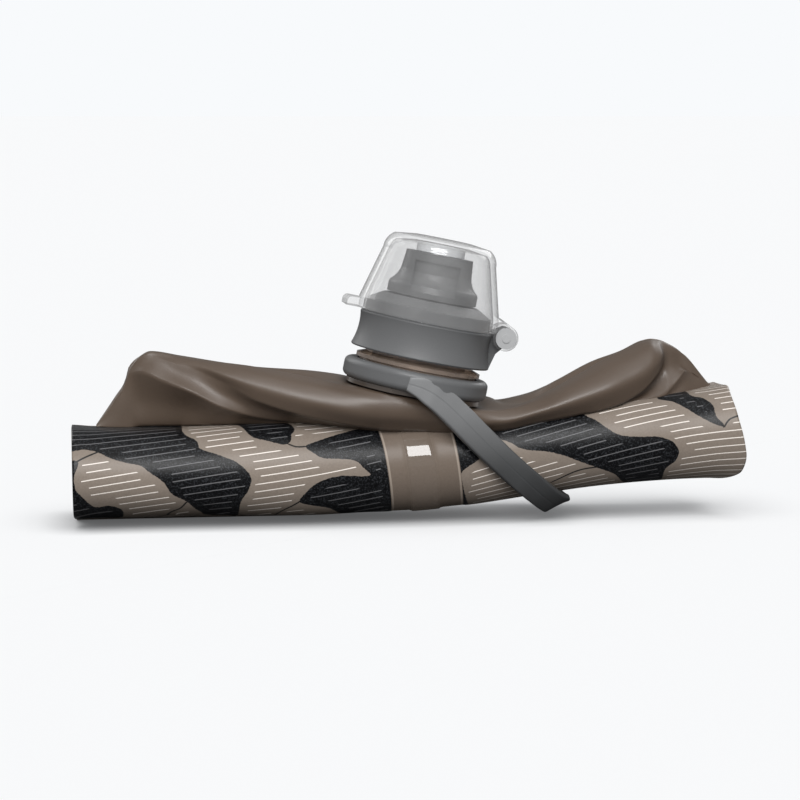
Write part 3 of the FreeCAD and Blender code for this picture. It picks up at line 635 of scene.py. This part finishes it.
# lines that run along the shoulder, as (along, across, height), from the rear over the top to the front
RAILS = (
    # back, low
    ((-71.6, 3.2, 22.0), (-68, 6.6, 23.0), (-64, 8.6, 25.0), (-50, 10.3, 26.0), (-30, 11.6, 26.3),
     (-14, 13.1, 26.0), (0, 13.6, 25.0), (14, 13.3, 24.8), (24, 12.4, 25.2), (36, 11.3, 27.2),
     (50, 10.6, 30.2), (60, 9.4, 31.4), (68, 6.2, 30.2), (71.4, 3.2, 29.0)),
    # top of the back film
    ((-71.6, 2.0, 22.1), (-67.2, 2.5, 28.5), (-64.9, 2.6, 32.1), (-64.2, 2.7, 34.9), (-61.6, 3, 37.5),
     (-59.1, 3, 38.7), (-52.3, 3.2, 37.6), (-43.1, 4, 35.9), (-34.4, 5.5, 34.5), (-22.4, 8, 33.3),
     (-15, 11, 32.0), (-9, 12.8, 30.5), (0, 13.3, 28.7), (9, 12.8, 26.8), (15, 11.6, 25.6),
     (18.9, 11.6, 26.4), (21, 10.6, 26.0), (23.1, 9.3, 25.1), (26.7, 7.5, 26.2), (29.9, 6, 27.3),
     (32.9, 5, 29.1), (36.4, 4.5, 31.0), (43.8, 4, 34.9), (50.4, 3.5, 37.3), (55.5, 3.2, 39.7),
     (57.6, 3, 40.1), (59.3, 3, 39.9), (62.2, 3, 38.7), (64.9, 3, 36.9), (67.2, 3, 33.6), (70.3, 2.5, 30.5),
     (71.4, 2.0, 29.6)),
    # valley between the two films
    ((-71.6, 1.6, 22.1), (-67.3, 1.8, 28.2), (-65.0, 2.0, 31.7), (-64.2, 2.1, 34.3), (-59, 2.3, 38.5),
     (-50, 2, 37.0), (-43, 1.5, 35.3), (-36, 1.2, 33.2), (-28, 1.5, 31.6), (-20, 1, 31.6), (-14, 0, 31.4),
     (0, 0, 28.5), (14, 0, 25.7), (19, 0, 24.6), (23, 0.5, 24.4), (26, 0.8, 25.0), (32, 1, 27.0),
     (38, 1.2, 29.9), (44, 1.6, 33.8), (50, 2, 36.9), (57.6, 2.4, 39.9), (65, 2.2, 36.7), (71.4, 1.5, 29.1)),
    # top of the front film
    ((-71.6, 1.2, 22.1), (-67.3, 1.4, 28.1), (-65.0, 1.5, 31.6), (-64.2, 1.5, 34.2), (-59, 1.5, 38.6),
     (-52, 0.2, 37.4), (-44, -2, 36.5), (-37.8, -3.6, 35.8), (-29.9, -4.8, 34.4), (-23.3, -6.3, 33.1),
     (-17, -8.4, 31.5), (-11, -11.8, 30.4), (-5, -13.2, 29.4), (0, -13.4, 28.5), (6, -13.2, 27.3),
     (12, -11.6, 26.1), (17, -8, 25.0), (22, -6, 25.2), (28, -5, 27.3), (33.4, -4.6, 29.9),
     (38.1, -3.6, 32.2), (41.8, -2.8, 34.1), (46, -1.6, 36.2), (52, -0.8, 38.5), (55, -0.6, 39.6),
     (57, 0.4, 40.0), (59, 1.6, 39.8), (62, 1.7, 38.6), (65, 1.6, 36.6), (71.4, 1.2, 29.3)),
    # upper front
    ((-71.6, 1.1, 22.1), (-67.3, 1.3, 28.0), (-65.0, 1.4, 31.5), (-64.2, 1.4, 34.1), (-59, 1.2, 38.3),
     (-54, -0.3, 37.1), (-48.8, -2.7, 36.4), (-43, -5.6, 35.3), (-35, -8.6, 33.7), (-25, -10.9, 31.7),
     (-15, -13, 29.4), (-8.5, -14.1, 28.2), (0, -14.1, 27.1), (10, -14.0, 25.7), (19, -12.4, 25.2),
     (28, -10.5, 26.9), (36, -9.8, 30.2), (44, -8.2, 33.4), (50, -6.6, 35.8), (54, -5.4, 37.4),
     (57.0, -3.6, 38.7), (58.6, -2.4, 38.7), (59.8, -0.4, 38.0), (62, 0.6, 37.4), (65, 1.4, 36.0),
     (71.4, 1.0, 29.2)),
    # fullest line of the front
    ((-71.6, 1.0, 22.1), (-67.3, 1.2, 27.9), (-65.0, 1.3, 31.4), (-64.2, 1.3, 34.0), (-59, 1.0, 38.0),
     (-54, -0.9, 36.7), (-48.8, -3.6, 35.7), (-43, -7.4, 33.8), (-35, -10.6, 31.2), (-25, -13.3, 28.5),
     (-15, -14.4, 26.2), (-8.5, -14.5, 25.1), (0, -14.1, 24.2), (10, -14.0, 23.3), (19, -13.9, 23.2),
     (28, -13.3, 25.1), (36, -12.9, 27.4), (44, -12, 29.8), (50, -10.2, 31.9), (54, -8.7, 33.6),
     (56.5, -7.2, 35.0), (58.4, -5.3, 36.2), (59.2, -3.4, 36.7), (60.0, -1.2, 36.3), (62, 0.0, 35.9),
     (65, 1.0, 34.9), (71.4, 0.9, 29.2)),
    # lower crease of the front tube
    ((-71.6, 0.9, 22.1), (-67.3, 1.1, 27.8), (-65.0, 1.2, 31.3), (-64.2, 1.2, 33.9), (-59, 0.8, 37.7),
     (-54, -1.5, 36.3), (-48.8, -3.9, 34.7), (-42.8, -6.9, 32.0), (-35.2, -10.1, 28.1), (-25.1, -12.2, 25.0),
     (-14.7, -12.4, 22.7), (-8.5, -12.0, 21.8), (0, -11.7, 21.3), (10, -11.8, 21.0), (19, -12.1, 21.1),
     (28, -11.6, 22.7), (36, -11.2, 23.9), (41.2, -10.7, 24.6), (47.1, -10.0, 26.0), (50.6, -9.3, 27.6),
     (53.9, -8.4, 29.6), (56.5, -7.0, 32.1), (58.3, -5.2, 34.2), (59.2, -3.3, 35.8), (60.0, -1.4, 35.2),
     (62, -0.5, 34.8), (65, 0.6, 33.9), (71.4, 0.8, 29.1)),
    # hollow behind that crease
    ((-71.6, 0.9, 22.1), (-67.3, 1.0, 27.7), (-65.0, 1.1, 31.2), (-64.2, 1.1, 33.8), (-61, 0.2, 36.0),
     (-59, -0.4, 36.2), (-54, -2.6, 34.3), (-48.8, -4.9, 32.2), (-43, -6.4, 29.3), (-35, -6.9, 26.2),
     (-25, -8.2, 23.9), (-15, -9.8, 22.2), (-8.5, -10.8, 21.5), (0, -11.0, 21.0), (10, -11.3, 20.7),
     (19, -11.6, 20.9), (28, -11.0, 22.4), (36, -10.6, 23.7), (44, -9.5, 25.3), (50, -7.8, 27.0),
     (54, -5.6, 28.8), (57, -3.6, 31.2), (59.2, -2.0, 33.4), (60.4, -1.5, 33.8), (62, -1.1, 33.8),
     (64, -0.4, 33.6), (65.2, 0.3, 33.2), (71.4, 0.8, 29.1)),
    # outer crease
    ((-71.6, 0.8, 22.1), (-67.3, 1.0, 27.6), (-65.0, 1.1, 31.1), (-64.2, 1.0, 33.7), (-61.1, -1.6, 34.5),
     (-57, -3.9, 32.8), (-50.7, -6.9, 30.4), (-44, -7.7, 26.9), (-35.4, -6.2, 24.2), (-28, -5.8, 23.0),
     (-15, -8.4, 21.8), (-8.5, -10, 21.3), (0, -10.7, 20.9), (10, -11.1, 20.5), (19, -11.4, 20.8),
     (28, -10.7, 22.3), (36, -10.3, 23.6), (44, -9.2, 25.2), (50, -8.0, 26.4), (54, -7.4, 26.9),
     (58.7, -6.2, 27.8), (61.1, -4.6, 29.6), (63.4, -3.0, 31.8), (64.6, -1.8, 33.0), (66.0, 0.0, 32.4),
     (68, 0.8, 31.6), (71.4, 0.7, 29.0)),
    # face below it
    ((-71.6, 0.7, 22.0), (-67.6, 0.8, 25.0), (-64, 0.6, 28.0), (-57, -1.4, 27.2), (-50, -3.2, 26.2),
     (-44, -4.5, 24.6), (-35, -4.5, 23.2), (-25, -5.4, 22.5), (-15, -8.1, 21.7), (-8.5, -9.8, 21.2),
     (0, -10.5, 20.8), (10, -11.0, 20.45), (19, -11.3, 20.7), (28, -10.6, 22.2), (36, -10.2, 23.5),
     (44, -9.1, 25.1), (50, -7.8, 26.3), (54, -7.2, 26.7), (58.7, -6.0, 27.2), (62, -4.0, 28.6),
     (65, -2.0, 30.6), (68, -0.3, 30.3), (71.4, 0.6, 28.9)),
    # where the front meets the roll
    ((-71.6, 0.5, 21.9), (-64, 0.5, 21.8), (-57, 0, 21.8), (-50, -1, 21.9), (-44, -2.2, 22.1),
     (-35, -3.5, 22.3), (-25, -5, 22.1), (-15, -7.9, 21.5), (-8.5, -9.6, 21.0), (0, -10.3, 20.6),
     (10, -10.8, 20.4), (18, -11.1, 20.6), (26, -10.5, 22.1), (37, -10.1, 23.7), (46, -8.9, 25.7),
     (52, -7.6, 26.6), (58.7, -5.8, 27.2), (64.5, -3.4, 27.9), (71.4, 0.5, 28.6)),
)
CREASES = (0, 0.75, 0, 0.7, 0, 0, 0.95, 0, 0.9, 0, 0.6)        # how sharply the film folds at each line
LEFT_TIP, RIGHT_TIP = -71.6, 71.4


def shoulder_rails(x):
    """Every rail at the places x, with the hidden underside and the root at the rear added."""
    lines = [eased(rail, x) for rail in RAILS]
    # the three lines over the top stay just under the flange, and are free of it further out
    held_within, free_from, gap = 15.9, 17.6, 0.05
    for line in lines[1:4]:
        near = smoothstep(free_from, held_within, np.hypot(x - FLANGE_X, line[:, 0]))
        level = np.minimum(line[:, 1], flange_level(x) - gap)
        line[:, 1] = near * level + (1 - near) * line[:, 1]
    # from the back film's top to the hollow, the lines stay this far above the roll
    above_roll = 0.35
    radius = front_radius(x)
    rear = radius + STEP
    for line in lines[1:8]:
        outward = np.clip(np.abs(line[:, 0]) - FLAT, 0, radius)
        roll_top = lift(x) + radius + np.sqrt(radius ** 2 - outward ** 2)
        line[:, 1] = np.maximum(line[:, 1], roll_top + above_roll)
    # the lines that close the section below, drawn together over the last millimetres before the two tips
    drawn_over = 7
    fade = smoothstep(LEFT_TIP, LEFT_TIP + drawn_over, x) * smoothstep(RIGHT_TIP, RIGHT_TIP - drawn_over, x)

    def drawn(line, across, height):
        return line + (np.stack([across, height], -1) - line) * fade[:, None]

    root_turn = math.radians(135)       # round the rear from the floor
    top = lift(x) + 2 * radius
    root = drawn(lines[1], FLAT + rear * math.sin(root_turn), lift(x) + rear * (1 - math.cos(root_turn)))
    under = drawn(lines[-1], np.full(len(x), 0.5), top + 0.12)
    behind = drawn(lines[1], np.full(len(x), 7.5), top - 1.0)
    return [root] + lines + [under, behind]


def section_slope(p, q, r, crease, leaving):
    """The slope at q of the section through p, q and r, turning sharply there as far as it is creased."""
    first = np.linalg.norm(q - p, axis=1, keepdims=True) + 1e-6
    second = np.linalg.norm(r - q, axis=1, keepdims=True) + 1e-6
    soft = ((q - p) / first * second + (r - q) / second * first) / (first + second)
    hard = (r - q) / second if leaving else (q - p) / first
    return soft * (1 - crease) + hard * crease


def shoulder():
    """The loose film over the roll: two puffed folds that meet in an ear at either end."""
    # places along it, closest together at the tips and over the two ears
    tip = 8
    ends = np.linspace(0, 1, 22) ** 1.5 * tip
    x = np.unique(np.concatenate([
        LEFT_TIP + ends, RIGHT_TIP - ends, np.arange(LEFT_TIP + tip, RIGHT_TIP - tip, 0.6),
        np.arange(48.0, RIGHT_TIP - tip, 0.25), np.arange(-62.0, -52.0, 0.25),
    ]).round(3))
    rails = np.stack(shoulder_rails(x), 1)
    creases = (0.0,) + CREASES + (0.0, 0.0)
    count = rails.shape[1]
    steps_between = 7
    rows = []
    for i in range(count):
        a, b = rails[:, i], rails[:, (i + 1) % count]
        before, after = rails[:, i - 1], rails[:, (i + 2) % count]
        length = np.linalg.norm(b - a, axis=1, keepdims=True)
        slope_a = section_slope(before, a, b, creases[i], True) * length
        slope_b = section_slope(a, b, after, creases[(i + 1) % count], False) * length
        rows += [blend(a, b, slope_a, slope_b, t) for t in np.arange(steps_between) / steps_between]
    section = np.stack(rows, 1)
    around = section.shape[1]
    points = np.concatenate([np.broadcast_to(x[:, None, None], (len(x), around, 1)), section], -1)
    made = new_piece("shoulder_film", points.reshape(-1, 3), tube_faces(len(x), around), FILM, "bottle",
                     ("shoulder_pouch",))
    facing_out(made)
    return made


shoulder_film = shoulder()


# ---------------------------------------------------------------- bail strap

def strap():
    """A flat band from the ring's front, under the roll, and back up to the ring's rear."""
    front = [
        # (along, across, height, half width, lean of the width line, how far it faces up, in degrees)
        (-2.4, -15.9, 32.3, 1.6, 84, 2), (0.3, -16.2, 31.4, 2.4, 75, 4), (2.8, -16.1, 30.1, 3.0, 62, 9),
        (5.3, -15.6, 28.2, 3.2, 51, 15), (9.2, -15.0, 24.5, 3.35, 47, 20), (14.0, -14.8, 19.6, 3.4, 45, 20),
        (19.0, -15.0, 14.7, 3.25, 45, 16), (24.0, -14.8, 10.2, 3.15, 47, 2), (28.0, -13.6, 6.9, 3.15, 48, -14),
        (30.6, -12.0, 4.9, 3.2, 48, -20), (32.2, -10.4, 3.9, 3.2, 44, -16), (33.2, -8.0, 3.6, 3.15, 32, -8),
        (33.9, -4.0, 3.4, 3.15, 16, -2),
    ]
    stations = front + [(34.0, 0.0, 3.4, 3.15, 9, 0)]
    stations += [(row[0], -row[1]) + row[2:] for row in reversed(front)]
    rows = np.array(stations, float)
    run = np.concatenate([[0], np.cumsum(np.linalg.norm(np.diff(rows[:, :3], axis=0), axis=1))])
    fine = np.linspace(0, run[-1], 260)
    path = eased(np.column_stack([run, rows]), fine)
    centre, half, lean = path[:, :3], path[:, 3], np.radians(path[:, 4])
    tilt = np.radians(path[:, 5:6])

    # the band's three directions at every place along it
    wide = np.stack([np.cos(lean), np.zeros(len(fine)), np.sin(lean)], -1)
    forward = np.gradient(centre, axis=0)
    forward /= np.linalg.norm(forward, axis=1, keepdims=True)
    wide -= forward * (wide * forward).sum(1, keepdims=True)
    wide /= np.linalg.norm(wide, axis=1, keepdims=True)
    out = np.cross(forward, wide)
    wide, out = wide * np.cos(tilt) - out * np.sin(tilt), out * np.cos(tilt) + wide * np.sin(tilt)

    # the section: a rounded bar, as shares of its flat's and its corners' width, and places through it
    half_thick, corner, off_floor = 0.85, 0.55, 0.05
    quarter = np.linspace(0, math.pi / 2, 6)
    section = []
    for side, face in ((1, 1), (-1, 1), (-1, -1), (1, -1)):
        for turn in quarter if side == face else quarter[::-1]:
            through = face * (half_thick - corner + corner * math.sin(turn))
            section.append((side, side * math.cos(turn), through))
        if side == face:
            section += [(side * share, 0.0, face * half_thick) for share in (0.6, 0.3, 0.0, -0.3, -0.6)]
    across = np.stack([flat * (half - corner) + rounding * corner for flat, rounding, _ in section], 1)
    through = np.array([row[2] for row in section])
    points = centre[:, None] + wide[:, None] * across[..., None] + out[:, None] * through[:, None]
    points[..., 2] = np.maximum(points[..., 2], off_floor)
    made = new_piece("bail_band", points.reshape(-1, 3), tube_faces(len(fine), len(section)), STRAP, "bottle",
                     ("bail_strap",))
    add_values(made, "across", across)
    # painted light: the higher a point of the band, the paler its colour
    add_values(made, "painted_light_by_height", smoothstep(11.0, 32.0, points[..., 2]))
    facing_out(made)
    return made


bail_band = strap()


# ---------------------------------------------------------------- camera, floor and lights

def aim(thing, at):
    """Turns a camera or a lamp towards a place."""
    thing.rotation_euler = (Vector(at) - thing.location).to_track_quat("-Z", "Y").to_euler()


def bearing_vector(turn, rise):
    """The direction at an angle round from the front and an angle up."""
    return Vector((math.sin(turn) * math.cos(rise), -math.cos(turn) * math.cos(rise), math.sin(rise)))


# the camera looks a little left of the middle, from low in front and slightly to the left
centre = (cad_box[0] + cad_box[1]) / 2
target = Vector((centre.x - 2.35 * MM, 0.0, 26.9 * MM))
azimuth, elevation, distance = math.radians(-8.0), math.radians(6.35), 0.6
camera = bpy.data.objects.new("camera", bpy.data.cameras.new("camera"))
bpy.context.scene.collection.objects.link(camera)
camera.location = target + distance * bearing_vector(azimuth, elevation)
aim(camera, target)
camera.data.lens = 117.2
camera.data.sensor_width = 36
camera.data.clip_start = 0.01
bpy.context.scene.camera = camera

floor_mesh = bpy.data.meshes.new("floor")
reach = 40.0        # metres
floor_mesh.from_pydata([(-reach, -reach, 0), (reach, -reach, 0), (reach, reach, 0), (-reach, reach, 0)], [],
                       [(0, 1, 2, 3)])
floor = bpy.data.objects.new("floor", floor_mesh)
bpy.context.scene.collection.objects.link(floor)
pale = Shade("floor_pale", Roughness=0.9, Specular_IOR_Level=0.0, Emission_Color=(0.94, 0.955, 0.975, 1))
# painted shadow: the floor glows, and its glow and colour darken near the object by occlusion
painted_contact_shadow = pale.node("ShaderNodeAmbientOcclusion", {"Distance": 9 * MM}, samples=12).outputs["AO"]
pale.set("Base Color", pale.mix(painted_contact_shadow, (0.38, 0.38, 0.385, 1), (0.60, 0.603, 0.606, 1)))
pale.set("Emission Strength", pale.math("ADD", pale.math("MULTIPLY", painted_contact_shadow, 0.28), 0.10))
# the object is lit and mirrored by a darker floor than the one on show
dim = pale.node("ShaderNodeBsdfDiffuse", {"Color": (0.12, 0.12, 0.122, 1)})
path = pale.node("ShaderNodeLightPath").outputs
bounce = pale.node("ShaderNodeMixShader", {0: pale.math("MAXIMUM", path["Is Diffuse Ray"], path["Is Glossy Ray"])})
pale.tree.links.new(pale.main.outputs[0], bounce.inputs[1])
pale.tree.links.new(dim.outputs[0], bounce.inputs[2])
pale.tree.links.new(bounce.outputs[0], pale.out.inputs["Surface"])
floor_mesh.materials.append(pale.material)

# a pale backdrop on show, and a weaker white one for light and reflections
world = bpy.data.worlds.new("studio")
bpy.context.scene.world = world
world.use_nodes = True
tree = world.node_tree
backdrop = tree.nodes["Background"]
backdrop.inputs["Color"].default_value = colour(248, 250, 252)
backdrop.inputs["Strength"].default_value = 1.0
soft = tree.nodes.new("ShaderNodeBackground")
soft.inputs["Color"].default_value = (1.0, 1.0, 1.0, 1.0)
soft.inputs["Strength"].default_value = 0.22
rays = tree.nodes.new("ShaderNodeLightPath")
either = tree.nodes.new("ShaderNodeMath")
either.operation = "MAXIMUM"
tree.links.new(rays.outputs["Is Diffuse Ray"], either.inputs[0])
tree.links.new(rays.outputs["Is Glossy Ray"], either.inputs[1])
choose = tree.nodes.new("ShaderNodeMixShader")
tree.links.new(either.outputs[0], choose.inputs[0])
tree.links.new(backdrop.outputs[0], choose.inputs[1])
tree.links.new(soft.outputs[0], choose.inputs[2])
tree.links.new(choose.outputs[0], tree.nodes["World Output"].inputs["Surface"])


def lit_group(name, pieces):
    """A collection that a lamp can be limited to."""
    group = bpy.data.collections.new(name)
    for piece in pieces:
        group.objects.link(piece)
    return group


all_but_roll = list(nodes.values()) + [inner_film, shoulder_film, bail_band]
on_object = lit_group("lit_by_lamps", all_but_roll + [outer_film])
but_roll = lit_group("lit_by_key", all_but_roll)
on_roll = lit_group("roll_only", [outer_film])
on_neck = lit_group("neck_only", [nodes["neck_fitment"]])
on_floor = lit_group("floor_only", [floor])


def softbox(name, bearing, height, away_from, size, power, receivers=on_object):
    """A rectangular lamp aimed at the object, its bearing and height in degrees and its distance in metres."""
    lamp = bpy.data.lights.new(name, "AREA")
    lamp.shape = "RECTANGLE"
    lamp.size, lamp.size_y = size
    lamp.energy = power
    made = bpy.data.objects.new(name, lamp)
    bpy.context.scene.collection.objects.link(made)
    made.location = target + away_from * bearing_vector(math.radians(bearing), math.radians(height))
    aim(made, target)
    made.light_linking.receiver_collection = receivers
    return made


softbox("key", 0, 49, 1.0, (0.5, 0.4), 6.0, but_roll)
softbox("roll_key", 4, 38, 1.0, (0.50, 0.46), 5.8, on_roll)
softbox("front", -12, 23, 1.1, (0.9, 0.35), 6.6).visible_glossy = False
softbox("top", 20, 82, 0.9, (0.6, 0.4), 0.7)
softbox("back_left", -140, 30, 1.0, (0.4, 0.6), 1.6)
softbox("back_right", 140, 30, 1.0, (0.4, 0.6), 1.6)
softbox("neck_glint", 6, 13, 0.9, (0.22, 0.10), 0.8, on_neck)

# the soft sun that draws the shadow on the floor, and lights nothing else
sun = bpy.data.objects.new("floor_light", bpy.data.lights.new("floor_light", "SUN"))
bpy.context.scene.collection.objects.link(sun)
sun.data.angle = math.radians(76)
sun.data.energy = 2.46
sun.rotation_euler = (math.radians(15), 0, 0)
sun.light_linking.receiver_collection = on_floor

bpy.context.scene.view_settings.view_transform = "Standard"
